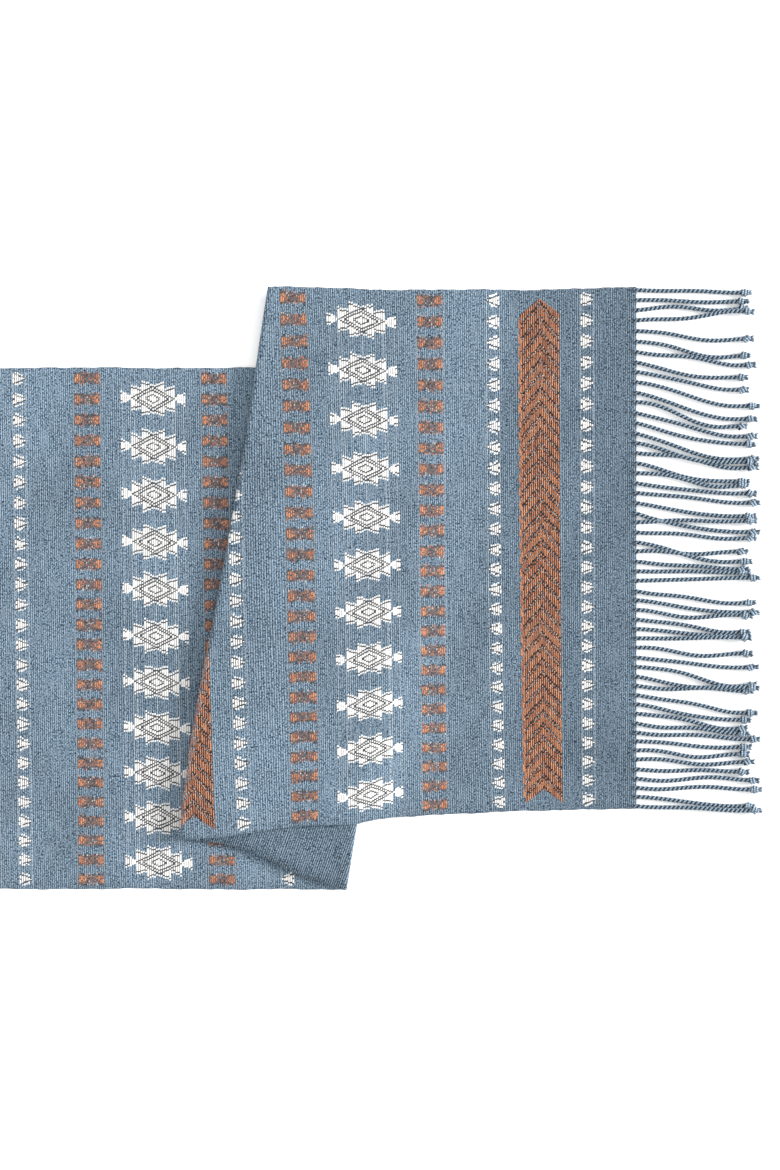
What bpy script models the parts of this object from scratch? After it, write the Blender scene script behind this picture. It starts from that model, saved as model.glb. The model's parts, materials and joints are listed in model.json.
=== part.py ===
"""Handwoven table runner: a long cotton cloth folded twice into a Z near its right end, with rows of
raised brocade across it and a fringe of knotted cords at both ends.

X runs along the cloth, Y across it and Z up. Units are metres. The cloth rests on z = 0.
"""

import math

import bmesh
import bpy
from mathutils import Matrix, Vector

# The cloth
CLOTH_WIDTH = 0.356
CLOTH_THICKNESS = 0.0012
CLOTH_END_X = 0.753  # both woven ends, left and right of the middle
LOWER_LAYER_Y = -0.0274  # middle line of the bottom layer
UPPER_LAYER_Y = 0.0276  # middle line of the top layer at its fringed end
UPPER_LAYER_SPREAD = 0.010  # the top layer is this much wider on each side at its fold

# The two folds, which lean the same way, and the heights of the three layers
FOLD_LEAN = math.radians(9.1)
LOWER_FOLD_MIDDLE = Vector((0.5824, LOWER_LAYER_Y))
UPPER_FOLD_MIDDLE = Vector((0.4709, 0.0172))
LAYER_RISE = 0.0034  # from one layer's underside to the next one's
MIDDLE_LAYER_Z = LAYER_RISE
TOP_LAYER_Z = 2 * LAYER_RISE
FOLD_AXIS_Z = MIDDLE_LAYER_Z + CLOTH_THICKNESS / 2
RAMP_START_X = 0.627  # where the top layer begins to come down to the table
RAMP_END_X = 0.6465

# The brocade rows
BAND_THICKNESS = 0.0005
BAND_GAP = 0.0003
BAND_MARGIN = 0.004  # bare cloth between a row's end and the selvedge
TOOTH_ROW_WIDTH = 0.0096
TOOTH_STEM = 0.002
TOOTH_PITCH = 0.0141
BOW_ROW_WIDTH = 0.0185
DIAMOND_ROW_WIDTH = 0.048
DIAMOND_WAIST = 0.008
DIAMONDS_PER_ROW = 11
CHEVRON_ROW_WIDTH = 0.0295
CHEVRON_POINT = 0.010
FOLD_CLEARANCE = 0.0012  # from a row cut by the fold to the fold's line

# Spacing of the rows along the cloth, from one chevron row to the next
CHEVRON_TO_TOOTH = 0.0315
TOOTH_TO_BOW = 0.0489
BOW_TO_DIAMOND = 0.0429
REPEAT_LENGTH = 2 * (CHEVRON_TO_TOOTH + TOOTH_TO_BOW + BOW_TO_DIAMOND)
LAST_LOWER_CHEVRON_X = 0.2995
LOWER_REPEATS = 5
END_CHEVRON_X = 0.6863
END_DIAMOND_X = 0.5677
END_BOW_TO_DIAMOND = 0.0441
FOLDED_CHEVRON_X = 0.4486

# The fringe
CORDS_PER_END = 54
CORDS_PER_COMB = 9
FRINGE_LENGTH = 0.0755  # from the woven end to the knots
CORD_THICKNESS = 0.0022
HEADER_LENGTH = 0.0018
HEADER_GAP = 0.0003
KNOT_SIZE = 0.0046
KNOT_LENGTH = 0.0052
TAIL_LENGTH = 0.0034
FRINGE_SWAY = 0.006

BLUE_GROUND = (0.176, 0.247, 0.319)
WHITE_COTTON = (0.80, 0.77, 0.71)
RUST_COTTON = (0.48, 0.145, 0.055)


def material(name, colour, roughness):
    """A plain cloth-like material."""
    made = bpy.data.materials.new(name)
    made.use_nodes = True
    shader = made.node_tree.nodes["Principled BSDF"]
    shader.inputs["Base Color"].default_value = (*colour, 1.0)
    shader.inputs["Roughness"].default_value = roughness
    shader.inputs["Metallic"].default_value = 0.0
    return made


def place(name, mesh_data, finish, parent=None, origin=(0, 0, 0)):
    """Link a finished bmesh as a named object whose origin is the given world point."""
    mesh = bpy.data.meshes.new(name)
    mesh_data.transform(Matrix.Translation(-Vector(origin)))
    bmesh.ops.recalc_face_normals(mesh_data, faces=mesh_data.faces)
    mesh_data.to_mesh(mesh)
    mesh_data.free()
    mesh.materials.append(finish)
    made = bpy.data.objects.new(name, mesh)
    bpy.context.collection.objects.link(made)
    if parent is not None:
        made.parent = parent
        made.location = Vector(origin) - parent.location
    else:
        made.location = origin
    return made


def prism(outline, bottom, top):
    """A closed solid over a plan outline. Bottom and top heights may be functions of x."""
    low = bottom if callable(bottom) else lambda x: bottom
    high = top if callable(top) else lambda x: top
    mesh = bmesh.new()
    lower = [mesh.verts.new((x, y, low(x))) for x, y in outline]
    upper = [mesh.verts.new((x, y, high(x))) for x, y in outline]
    mesh.faces.new(reversed(lower))
    mesh.faces.new(upper)
    for i in range(len(outline)):
        j = (i + 1) % len(outline)
        mesh.faces.new((lower[i], lower[j], upper[j], upper[i]))
    return mesh


def fold_line_x(middle, y):
    """Where a fold's line stands at a given y."""
    return middle.x + (y - middle.y) * math.tan(FOLD_LEAN)


def fold_axis():
    """A fold's axis as a direction, from its lower end to its upper end."""
    return Vector((math.sin(FOLD_LEAN), math.cos(FOLD_LEAN), 0))


def upper_edges(x):
    """Low and high edge of the top layer at a given x. It spreads towards its fold."""
    fold_x = UPPER_FOLD_MIDDLE.x
    towards_fold = (CLOTH_END_X - x) / (CLOTH_END_X - fold_x)
    low = UPPER_LAYER_Y - CLOTH_WIDTH / 2 - 2 * UPPER_LAYER_SPREAD * towards_fold
    return low, UPPER_LAYER_Y + CLOTH_WIDTH / 2


def lower_edges(x):
    """Low and high edge of the bottom layer, which are straight."""
    return LOWER_LAYER_Y - CLOTH_WIDTH / 2, LOWER_LAYER_Y + CLOTH_WIDTH / 2


def top_layer_z(x):
    """Underside of the top layer: level over the folds, then down a ramp to the table."""
    along = (x - RAMP_START_X) / (RAMP_END_X - RAMP_START_X)
    return TOP_LAYER_Z * (1 - min(max(along, 0.0), 1.0))


def corner_on_fold(middle, edges, high):
    """Corner where a layer's edge meets a fold's line."""
    y = edges(middle.x)[high]
    y = edges(fold_line_x(middle, y))[high]
    return fold_line_x(middle, y), y


def make_panels(ground, lower_pivot, upper_pivot):
    """The three layers of the cloth."""
    left_low, left_high = lower_edges(0)
    lower_corner = corner_on_fold(LOWER_FOLD_MIDDLE, lower_edges, 0)
    upper_corner = corner_on_fold(LOWER_FOLD_MIDDLE, lower_edges, 1)
    outline = [(-CLOTH_END_X, left_low), lower_corner, upper_corner, (-CLOTH_END_X, left_high)]
    place("main_panel", prism(outline, 0.0, CLOTH_THICKNESS), ground)

    fold_low = corner_on_fold(UPPER_FOLD_MIDDLE, upper_edges, 0)
    fold_high = corner_on_fold(UPPER_FOLD_MIDDLE, upper_edges, 1)
    outline = [fold_low, lower_corner, upper_corner, fold_high]
    layer_top = MIDDLE_LAYER_Z + CLOTH_THICKNESS
    panel = prism(outline, MIDDLE_LAYER_Z, layer_top)
    place("fold_panel", panel, ground, lower_pivot, lower_pivot.location)

    mesh = bmesh.new()
    stations = [None, RAMP_START_X, RAMP_END_X, CLOTH_END_X]
    rings = []
    for x in stations:
        if x is None:
            low, high = fold_low, fold_high
        else:
            low, high = ((x, y) for y in upper_edges(x))
        heights = (0.0, 0.0, CLOTH_THICKNESS, CLOTH_THICKNESS)
        corners = (low, high, high, low)
        rings.append(
            [
                mesh.verts.new((px, py, top_layer_z(px) + rise))
                for (px, py), rise in zip(corners, heights, strict=True)
            ]
        )
    for one, two in zip(rings, rings[1:], strict=False):
        for i in range(4):
            j = (i + 1) % 4
            mesh.faces.new((one[i], one[j], two[j], two[i]))
    mesh.faces.new(rings[0])
    mesh.faces.new(rings[-1])
    place("end_panel", mesh, ground, upper_pivot, upper_pivot.location)


def tooth_outline(x, low, high):
    """A row of triangles side by side on a thin stem."""
    teeth = round((high - low) / TOOTH_PITCH)
    pitch = (high - low) / teeth
    stem_x = x + TOOTH_ROW_WIDTH / 2
    outline = [(stem_x, low), (stem_x, high)]
    for tooth in range(teeth):
        top = high - tooth * pitch
        outline.append((stem_x - TOOTH_STEM, top))
        outline.append((x - TOOTH_ROW_WIDTH / 2, top - 0.7 * pitch))
    outline.append((stem_x - TOOTH_STEM, low))
    return outline


def bow_outline(x, low, high):
    """The plain strip that a row of bow ties fills."""
    left, right = x - BOW_ROW_WIDTH / 2, x + BOW_ROW_WIDTH / 2
    return [(left, low), (right, low), (right, high), (left, high)]


def diamond_outline(x, low, high):
    """A chain of diamonds joined at their points."""
    pitch = (high - low) / DIAMONDS_PER_ROW
    right_side = []
    for diamond in range(DIAMONDS_PER_ROW):
        bottom = low + diamond * pitch
        right_side.append((DIAMOND_WAIST / 2, bottom))
        right_side.append((DIAMOND_ROW_WIDTH / 2, bottom + pitch / 2))
    right_side.append((DIAMOND_WAIST / 2, high))
    outline = [(x + across, y) for across, y in right_side]
    outline += [(x - across, y) for across, y in reversed(right_side)]
    return outline


def chevron_outline(x, low, high):
    """A broad strip with a point at its upper end and a matching notch at its lower end."""
    left, right = x - CHEVRON_ROW_WIDTH / 2, x + CHEVRON_ROW_WIDTH / 2
    shoulder = high - CHEVRON_POINT
    notch = low + CHEVRON_POINT
    return [(left, low), (x, notch), (right, low), (right, shoulder), (x, high), (left, shoulder)]


OUTLINES = {
    "tooth": tooth_outline,
    "bow": bow_outline,
    "diamond": diamond_outline,
    "chevron": chevron_outline,
}


def band_solid(kind, x, edges, surface_z, start_y=None):
    """One brocade row as a thin solid just above the cloth, across it at x, perhaps from start_y on."""
    low, high = edges(x)
    first = low + BAND_MARGIN if start_y is None else start_y
    outline = OUTLINES[kind](x, first, high - BAND_MARGIN)
    bottom = surface_z + CLOTH_THICKNESS + BAND_GAP
    return prism(outline, bottom, bottom + BAND_THICKNESS)


def keep_side(mesh, side):
    """Cut a solid along the upper fold and keep its part right of it (side 1) or left (-1)."""
    axis = fold_axis()
    outwards = Vector((axis.y, -axis.x, 0)) * side
    point = UPPER_FOLD_MIDDLE.to_3d() + outwards * FOLD_CLEARANCE
    bmesh.ops.triangulate(mesh, faces=mesh.faces)
    parts = mesh.verts[:] + mesh.edges[:] + mesh.faces[:]
    cut = bmesh.ops.bisect_plane(mesh, geom=parts, plane_co=point, plane_no=outwards, clear_inner=True)
    rim = [part for part in cut["geom_cut"] if isinstance(part, bmesh.types.BMEdge)]
    if rim:
        bmesh.ops.holes_fill(mesh, edges=rim, sides=0)
    return mesh


def turn_under(mesh):
    """Turn a solid over the upper fold, from the top layer to the underside of the middle one."""
    centre = UPPER_FOLD_MIDDLE.to_3d()
    centre.z = (MIDDLE_LAYER_Z + TOP_LAYER_Z + CLOTH_THICKNESS) / 2
    turn = Matrix.Rotation(math.pi, 4, fold_axis())
    mesh.transform(Matrix.Translation(centre) @ turn @ Matrix.Translation(-centre))
    return mesh


def repeat_rows(chevron_x):
    """Names and places of one repeat's rows, from its chevron row rightwards."""
    bow_x = chevron_x + CHEVRON_TO_TOOTH + TOOTH_TO_BOW
    diamond_x = bow_x + BOW_TO_DIAMOND
    return [
        ("chevron", "chevron", chevron_x),
        ("tooth_left", "tooth", chevron_x + CHEVRON_TO_TOOTH),
        ("bow_left", "bow", bow_x),
        ("diamond", "diamond", diamond_x),
        ("bow_right", "bow", diamond_x + BOW_TO_DIAMOND),
        ("tooth_right", "tooth", diamond_x + BOW_TO_DIAMOND + TOOTH_TO_BOW),
    ]


def make_lower_bands(finishes):
    """The rows of the bottom layer, repeat by repeat from the folds to the left end."""
    for repeat in range(LOWER_REPEATS):
        chevron_x = LAST_LOWER_CHEVRON_X - repeat * REPEAT_LENGTH
        for label, kind, x in repeat_rows(chevron_x):
            solid = band_solid(kind, x, lower_edges, 0.0)
            place(f"main_{label}_{repeat + 1}", solid, finishes[kind])
    last_x = LAST_LOWER_CHEVRON_X - (LOWER_REPEATS - 1) * REPEAT_LENGTH - CHEVRON_TO_TOOTH
    place("main_tooth_end", band_solid("tooth", last_x, lower_edges, 0.0), finishes["tooth"])


def make_upper_bands(finishes, pivot):
    """The rows of the top layer, from its fringe to the upper fold."""
    rows = [
        ("tooth_outer", "tooth", END_CHEVRON_X + CHEVRON_TO_TOOTH),
        ("chevron", "chevron", END_CHEVRON_X),
        ("tooth_inner", "tooth", END_CHEVRON_X - CHEVRON_TO_TOOTH),
        ("bow_right", "bow", END_DIAMOND_X + END_BOW_TO_DIAMOND),
        ("diamond", "diamond", END_DIAMOND_X),
        ("bow_left", "bow", END_DIAMOND_X - END_BOW_TO_DIAMOND),
    ]
    for label, kind, x in rows:
        solid = band_solid(kind, x, upper_edges, top_layer_z(x))
        place(f"end_{label}", solid, finishes[kind], pivot, pivot.location)


def fold_line_y(middle, x):
    """Where a fold's line stands at a given x."""
    return middle.y + (x - middle.x) / math.tan(FOLD_LEAN)


def seen_tooth_solid(x):
    """The part of the folded row of triangles that lies on the top layer, cut short at the fold."""
    stem_start = x + TOOTH_ROW_WIDTH / 2 - 1.5 * TOOTH_STEM
    low = upper_edges(x)[0] + BAND_MARGIN
    high = fold_line_y(UPPER_FOLD_MIDDLE, stem_start - FOLD_CLEARANCE)
    outline = [
        (max(px, fold_line_x(UPPER_FOLD_MIDDLE, py) + FOLD_CLEARANCE), py)
        for px, py in tooth_outline(x, low, high)
    ]
    bottom = TOP_LAYER_Z + CLOTH_THICKNESS + BAND_GAP
    return prism(outline, bottom, bottom + BAND_THICKNESS)


def make_folded_bands(finishes, lower_pivot, upper_pivot):
    """The rows that the upper fold crosses, each in two parts, and the one wholly turned under."""
    tooth_x = FOLDED_CHEVRON_X + CHEVRON_TO_TOOTH
    seen = {
        "end_tooth_folded": ("tooth", seen_tooth_solid(tooth_x)),
        "end_chevron_folded": (
            "chevron",
            keep_side(band_solid("chevron", FOLDED_CHEVRON_X, upper_edges, TOP_LAYER_Z), 1),
        ),
    }
    for name, (kind, solid) in seen.items():
        place(name, solid, finishes[kind], upper_pivot, upper_pivot.location)

    stem_x = tooth_x + TOOTH_ROW_WIDTH / 2
    stem_y = fold_line_y(UPPER_FOLD_MIDDLE, stem_x + FOLD_CLEARANCE)
    under_x = FOLDED_CHEVRON_X - CHEVRON_TO_TOOTH
    hidden = {
        "fold_tooth": ("tooth", band_solid("tooth", tooth_x, upper_edges, TOP_LAYER_Z, stem_y)),
        "fold_tooth_under": ("tooth", band_solid("tooth", under_x, upper_edges, TOP_LAYER_Z)),
        "fold_chevron": (
            "chevron",
            keep_side(band_solid("chevron", FOLDED_CHEVRON_X, upper_edges, TOP_LAYER_Z), -1),
        ),
    }
    for name, (kind, solid) in hidden.items():
        place(name, turn_under(solid), finishes[kind], lower_pivot, lower_pivot.location)


def cord_rings(root, tip_shift, outwards):
    """Centre, half width and half height of a cord's sections, past its root."""
    end = Vector((root.x + outwards * FRINGE_LENGTH, root.y + tip_shift, 0))
    half = CORD_THICKNESS / 2
    knot = KNOT_SIZE / 2
    middle = root.lerp(end, 0.5)
    return [
        (middle.x, middle.y, half, half),
        (end.x - outwards * KNOT_LENGTH / 2, end.y, half, half),
        (end.x - outwards * KNOT_LENGTH / 6, end.y, knot, knot),
        (end.x + outwards * KNOT_LENGTH / 6, end.y, knot, knot),
        (end.x + outwards * KNOT_LENGTH / 2, end.y, half, half),
        (end.x + outwards * (KNOT_LENGTH / 2 + TAIL_LENGTH), end.y, knot * 0.7, half),
    ]


def comb(first_cord, edges, outwards):
    """A group of fringe cords, joined by the strip where they leave the cloth."""
    start_x = outwards * (CLOTH_END_X + HEADER_GAP)
    front_x = start_x + outwards * HEADER_LENGTH
    low, high = edges(start_x)
    pitch = (high - low) / CORDS_PER_END
    half = CORD_THICKNESS / 2
    levels = []
    roots = []
    for cord in range(first_cord, first_cord + CORDS_PER_COMB):
        y = low + (cord + 0.5) * pitch
        roots.append(y)
        levels += [y - half, y + half]
    levels = [levels[0] - half / 2, *levels, levels[-1] + half / 2]

    mesh = bmesh.new()
    back = [mesh.verts.new((start_x, y, z)) for z in (0, CORD_THICKNESS) for y in (levels[0], levels[-1])]
    lower = [mesh.verts.new((front_x, y, 0)) for y in levels]
    upper = [mesh.verts.new((front_x, y, CORD_THICKNESS)) for y in levels]
    mesh.faces.new((back[0], back[1], back[3], back[2]))
    mesh.faces.new((back[0], back[1], *reversed(lower)))
    mesh.faces.new((back[2], back[3], *reversed(upper)))
    mesh.faces.new((back[0], lower[0], upper[0], back[2]))
    mesh.faces.new((back[1], lower[-1], upper[-1], back[3]))
    for i in range(0, len(levels) - 1, 2):
        mesh.faces.new((lower[i], lower[i + 1], upper[i + 1], upper[i]))
    for number, y in enumerate(roots):
        i = 2 * number + 1
        ring = [lower[i], lower[i + 1], upper[i + 1], upper[i]]
        sway = FRINGE_SWAY * math.sin(2 * math.pi * (first_cord + number) / CORDS_PER_END)
        root = Vector((front_x, y, 0))
        for x, ring_y, half_width, half_height in cord_rings(root, sway, outwards):
            sides = ((-1, 0), (1, 0), (1, 2), (-1, 2))
            following = [
                mesh.verts.new((x, ring_y + across * half_width, up * half_height))
                for across, up in sides
            ]
            for k in range(4):
                m = (k + 1) % 4
                mesh.faces.new((ring[k], ring[m], following[m], following[k]))
            ring = following
        mesh.faces.new(ring)
    return mesh


def make_fringes(finish, pivot):
    """The cords at both ends of the cloth, in groups."""
    for group in range(CORDS_PER_END // CORDS_PER_COMB):
        first = group * CORDS_PER_COMB
        place(f"main_fringe_{group + 1}", comb(first, lower_edges, -1), finish)
        end_comb = comb(first, upper_edges, 1)
        place(f"end_fringe_{group + 1}", end_comb, finish, pivot, pivot.location)


def pivot_at(name, middle, parent=None):
    """An empty on a fold's axis, which carries what turns about it."""
    empty = bpy.data.objects.new(name, None)
    bpy.context.collection.objects.link(empty)
    empty.location = (middle.x, middle.y, FOLD_AXIS_Z)
    if parent is not None:
        empty.parent = parent
        empty.location -= parent.location
    return empty


def main():
    for old in list(bpy.data.objects):
        bpy.data.objects.remove(old, do_unlink=True)
    ground = material("ground_cloth", BLUE_GROUND, 0.9)
    white = material("white_brocade", WHITE_COTTON, 0.85)
    rust = material("rust_brocade", RUST_COTTON, 0.85)
    cord = material("fringe_cord", BLUE_GROUND, 0.9)
    finishes = {"tooth": white, "bow": rust, "diamond": white, "chevron": rust}

    lower_pivot = pivot_at("lower_fold_axis", LOWER_FOLD_MIDDLE)
    upper_pivot = pivot_at("upper_fold_axis", UPPER_FOLD_MIDDLE)
    make_panels(ground, lower_pivot, upper_pivot)
    make_lower_bands(finishes)
    make_upper_bands(finishes, upper_pivot)
    make_folded_bands(finishes, lower_pivot, upper_pivot)
    make_fringes(cord, upper_pivot)


main()
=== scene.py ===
"""The look of a handwoven table runner: cloth folded into a Z, raised brocade and a knotted fringe.

Metres throughout, in the CAD's frame: X along the cloth, Y across it, Z up. A place on the cloth is
given by q, how far along it is, and w, how far up from the lower selvedge.
"""

import json
import math
import random
from bisect import bisect

import bpy
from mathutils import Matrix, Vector


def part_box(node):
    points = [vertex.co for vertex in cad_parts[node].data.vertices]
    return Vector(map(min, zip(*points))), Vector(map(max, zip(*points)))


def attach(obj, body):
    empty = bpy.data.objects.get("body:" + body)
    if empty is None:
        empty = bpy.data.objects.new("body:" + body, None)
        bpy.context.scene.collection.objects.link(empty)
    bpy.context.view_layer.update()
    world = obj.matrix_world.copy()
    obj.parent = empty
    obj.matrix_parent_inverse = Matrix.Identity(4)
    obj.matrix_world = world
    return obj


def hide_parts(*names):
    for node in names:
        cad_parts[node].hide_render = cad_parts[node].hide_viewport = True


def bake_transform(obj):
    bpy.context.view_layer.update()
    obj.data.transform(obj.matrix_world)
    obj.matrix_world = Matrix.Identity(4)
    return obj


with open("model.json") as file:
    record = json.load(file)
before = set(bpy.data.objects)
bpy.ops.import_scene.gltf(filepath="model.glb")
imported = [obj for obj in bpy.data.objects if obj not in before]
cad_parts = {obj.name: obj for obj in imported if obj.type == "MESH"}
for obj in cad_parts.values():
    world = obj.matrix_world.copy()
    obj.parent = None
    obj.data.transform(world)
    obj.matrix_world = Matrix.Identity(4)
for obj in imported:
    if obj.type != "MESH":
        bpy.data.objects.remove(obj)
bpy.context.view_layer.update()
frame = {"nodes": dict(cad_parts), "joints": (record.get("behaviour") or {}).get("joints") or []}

MM = 0.001
UP = Vector((0, 0, 1))

# The cloth: its cut width, its half thickness and the middle height of its three layers
WIDTH = 356 * MM
HALF_CLOTH = 0.55 * MM
LOWER_Z = 0.7 * MM
MIDDLE_Z = 4.05 * MM
UPPER_Z = 7.4 * MM
CLOTH_END = 752.5 * MM
RAMP_LENGTH = 60 * MM  # over which the top layer comes down to the table past the lower fold
COLUMNS_ACROSS = 44
ARC_STEPS = 10
SHEET_SEAM = 12 * MM  # from the upper fold to where the end cloth's mesh meets the main cloth's
FOLD_SPACING = 113.8 * MM  # from fold to fold, along the middle layer
SELVEDGE_RIPPLE = 0.45 * MM
SELVEDGE_ROUNDING = 0.4 * MM

# Motifs across the cloth: where the first one's middle is, their spacing and their number
DIAMOND_START = 18.2 * MM
DIAMOND_PITCH = 31.8 * MM
DIAMONDS = 11
SMALL_START = 6.8 * MM
SMALL_PITCH = 13.7 * MM
SMALL_MOTIFS = 26

FLOAT_HEIGHT = 0.28 * MM

# The fringe
CORDS_PER_GROUP = 9
GROUPS = 6
PLY_OFFSET = 0.68 * MM
PLY_RADIUS = 1.0 * MM
TWIST_PITCH = 6.0 * MM
CORD_STEP = 0.78 * MM
CORD_LENGTH = 78  # in millimetres, as is its spread
CORD_LENGTH_SPREAD = 5
CROSSING_LIFT = 1.6 * MM  # for a cord that lies over its neighbour

CAMERA_HEIGHT = 2.5
VIEW_HEIGHT = 0.8003
VIEW_MIDDLE = (0.584, 0.0025)


# ---------------------------------------------------------------- small helpers


def clamp(value, low=0.0, high=1.0):
    return max(low, min(high, value))


def smooth(value):
    """From 0 to 1 with a soft start and end."""
    value = clamp(value)
    return value * value * (3 - 2 * value)


def curve_through(*points):
    """A smooth function through (place, value) points, level beyond the first and the last."""
    places = [place for place, _ in points]
    values = [value for _, value in points]
    slopes = [0.0]
    for i in range(1, len(points) - 1):
        slopes.append((values[i + 1] - values[i - 1]) / (places[i + 1] - places[i - 1]))
    slopes.append(0.0)

    def value_at(place):
        if place <= places[0]:
            return values[0]
        if place >= places[-1]:
            return values[-1]
        i = bisect(places, place) - 1
        span = places[i + 1] - places[i]
        t = (place - places[i]) / span
        rise = values[i + 1] - values[i]
        bend_in = slopes[i] * span - rise
        bend_out = rise - slopes[i + 1] * span
        return values[i] + rise * t + t * (1 - t) * (bend_in * (1 - t) + bend_out * t)

    return value_at


def new_mesh(name, verts, faces, patterns, finish):
    """A mesh object whose "pattern" attribute tells its material where on the cloth each point is."""
    mesh = bpy.data.meshes.new(name)
    mesh.from_pydata(verts, [], faces)
    mesh.update()
    mesh.shade_smooth()
    attribute = mesh.attributes.new("pattern", "FLOAT_VECTOR", "POINT")
    attribute.data.foreach_set("vector", [part for pattern in patterns for part in pattern])
    mesh.materials.append(finish)
    made = bpy.data.objects.new(name, mesh)
    bpy.context.collection.objects.link(made)
    return made


# ---------------------------------------------------------------- the cloth's shape


class Fold:
    """A fold: its line in plan, the layers it joins and which way the cloth lies from it."""

    def __init__(self, joint_name, side, start_z, end_z, outline):
        joint = next(joint for joint in frame["joints"] if joint["name"] == joint_name)
        self.point = Vector((joint["pos_m"][0], joint["pos_m"][1], 0))
        self.axis = Vector(joint["axis"]).normalized()
        self.inwards = Vector((self.axis.y, -self.axis.x, 0)) * side
        self.middle_z = (start_z + end_z) / 2
        self.radius = abs(start_z - end_z) / 2
        self.up = 1 if start_z > end_z else -1
        self.outline = outline

    def inside(self, plan, v):
        """How far inside the fold's outer edge a place in plan is."""
        return (plan - self.point).dot(self.inwards) - self.outline(v)

    def arc(self, foot, angle):
        """Place and front normal on the bend. Its foot is where the bend starts."""
        place = foot - self.inwards * self.radius * math.sin(angle)
        place.z = self.middle_z + self.up * self.radius * math.cos(angle)
        normal = UP * math.cos(angle) - self.inwards * (self.up * math.sin(angle))
        return place, normal

    def past(self, plan, v):
        """Place and front normal of cloth that would lie at plan if it weren't turned over."""
        beyond = self.radius - self.inside(plan, v)
        foot = plan + self.inwards * beyond
        angle = min(beyond / self.radius, math.pi)
        place, normal = self.arc(foot, angle)
        return place + self.inwards * max(0.0, beyond - math.pi * self.radius), normal


lower_fold = Fold("lower_fold", -1, LOWER_Z, MIDDLE_Z, curve_through((0, 0), (1, 0)))
upper_fold = Fold(
    "upper_fold",
    1,
    UPPER_Z,
    MIDDLE_Z,
    curve_through((0, 0), (0.1, -0.002), (0.25, -0.0025), (0.45, -0.0005), (0.68, 0.0012), (1, 0)),
)

# The Y of the lower and the higher selvedge at each X, for the bottom and the top layer
lower_low = curve_through(
    (-0.753, -0.2054), (-0.45, -0.2047), (-0.2, -0.2056), (0, -0.2049), (0.2, -0.2055), (0.4, -0.2049),
    (0.55, -0.2054)
)
lower_high = curve_through(
    (-0.753, 0.1506), (-0.5, 0.1512), (-0.2, 0.1503), (0, 0.1509), (0.2, 0.1504), (0.35, 0.1508),
    (0.6, 0.1504)
)
upper_low = curve_through(
    (0.441, -0.1706), (0.475, -0.1685), (0.512, -0.1624), (0.538, -0.161), (0.56, -0.1603),
    (0.584, -0.1562), (0.632, -0.1535), (0.753, -0.1501)
)
upper_high = curve_through((0.5, 0.2056), (0.591, 0.2036), (0.68, 0.2042), (0.753, 0.2056))

# How far X runs ahead of q: pulled at the lower selvedge, bowed in mid-cloth
lower_pull = curve_through(
    (-0.753, 0), (-0.2, 0.0040), (0.33, 0.0051), (0.3775, 0.0030), (0.4226, 0.0048), (0.4644, 0.0060),
    (0.6, 0.0050)
)
upper_pull = curve_through(
    (0.40, 0.002), (0.447, 0.004), (0.479, 0.006), (0.518, 0.0088), (0.565, 0.0072), (0.611, 0.0038),
    (0.655, 0.0044), (0.686, 0.0032), (0.7185, 0.0015), (0.753, 0)
)
upper_bow = curve_through(
    (0.40, 0), (0.447, -0.0025), (0.479, -0.0030), (0.518, 0.0016), (0.565, 0.0014), (0.611, 0),
    (0.655, -0.0008), (0.753, 0)
)

# How far mid-cloth lies towards -Y from where evenly spaced yarns would put it
LOWER_SLACK = 0.0045
UPPER_SLACK = 0.006

# How much the middle layer's lower selvedge is drawn up, from the lower fold to the upper one
middle_low_lift = curve_through(
    (0, 0), (0.16, 0.0006), (0.31, 0.0016), (0.45, 0.0043), (0.57, 0.0056), (0.74, 0.0052), (0.87, 0.0030),
    (1, 0)
)


def ripple(place, seed, size):
    """Small uneven waves along a selvedge."""
    waves = ((61, 0.5), (133, 0.4), (287, 0.35), (611, 0.3), (1290, 0.2))  # radians per metre, height
    return size * sum(
        share * math.sin(pitch * place + seed * 1.7 + i * 2.3) for i, (pitch, share) in enumerate(waves)
    )


def lower_plan(q, w):
    """Where the bottom layer's place (q, w) is in plan."""
    v = w / WIDTH
    x = q + lower_pull(q) * (1 - v)
    low = lower_low(x) + ripple(q, 1, SELVEDGE_RIPPLE)
    high = lower_high(x) + ripple(q, 2, SELVEDGE_RIPPLE)
    return Vector((x, low + (high - low) * v - LOWER_SLACK * math.sin(math.pi * v), 0))


def upper_plan(q, w):
    """Where the top layer's place (q, w) is in plan, as if it went on past its fold."""
    v = w / WIDTH
    pull = upper_pull(q)
    low = upper_low(q + pull) + ripple(q, 3, SELVEDGE_RIPPLE)
    high = upper_high(q) + ripple(q, 4, SELVEDGE_RIPPLE)
    x = q + pull * (1 - v) + upper_bow(q) * 4 * v * (1 - v)
    return Vector((x, low + (high - low) * v - UPPER_SLACK * math.sin(math.pi * v), 0))


def upper_height(plan):
    """Middle height of the top layer, which comes down to the table past the lower fold."""
    past_fold = -lower_fold.inside(plan, 0) + 1 * MM
    return UPPER_Z - (UPPER_Z - LOWER_Z) * smooth(past_fold / RAMP_LENGTH)


def lower_surface(q, w):
    """Place and front normal of the bottom layer."""
    place = lower_plan(q, w)
    place.z = LOWER_Z
    return place, UP.copy()


def upper_surface(q, w):
    """Place and front normal of the top layer, round its fold and on to the middle layer."""
    plan = upper_plan(q, w)
    v = w / WIDTH
    if upper_fold.inside(plan, v) < upper_fold.radius:
        place, normal = upper_fold.past(plan, v)
        turned_under = 0.0
        if normal.z < 0:
            turned_under = max(0.0, upper_fold.inside(place, v) - upper_fold.radius)
        place.y += middle_low_lift(1 - turned_under / FOLD_SPACING) * (1 - v) ** 2
        return place, normal
    plan.z = upper_height(plan)
    step = 2 * MM
    slope = (upper_height(plan + Vector((step, 0, 0))) - plan.z) / step
    return plan, Vector((-slope, 0, 1)).normalized()


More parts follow.
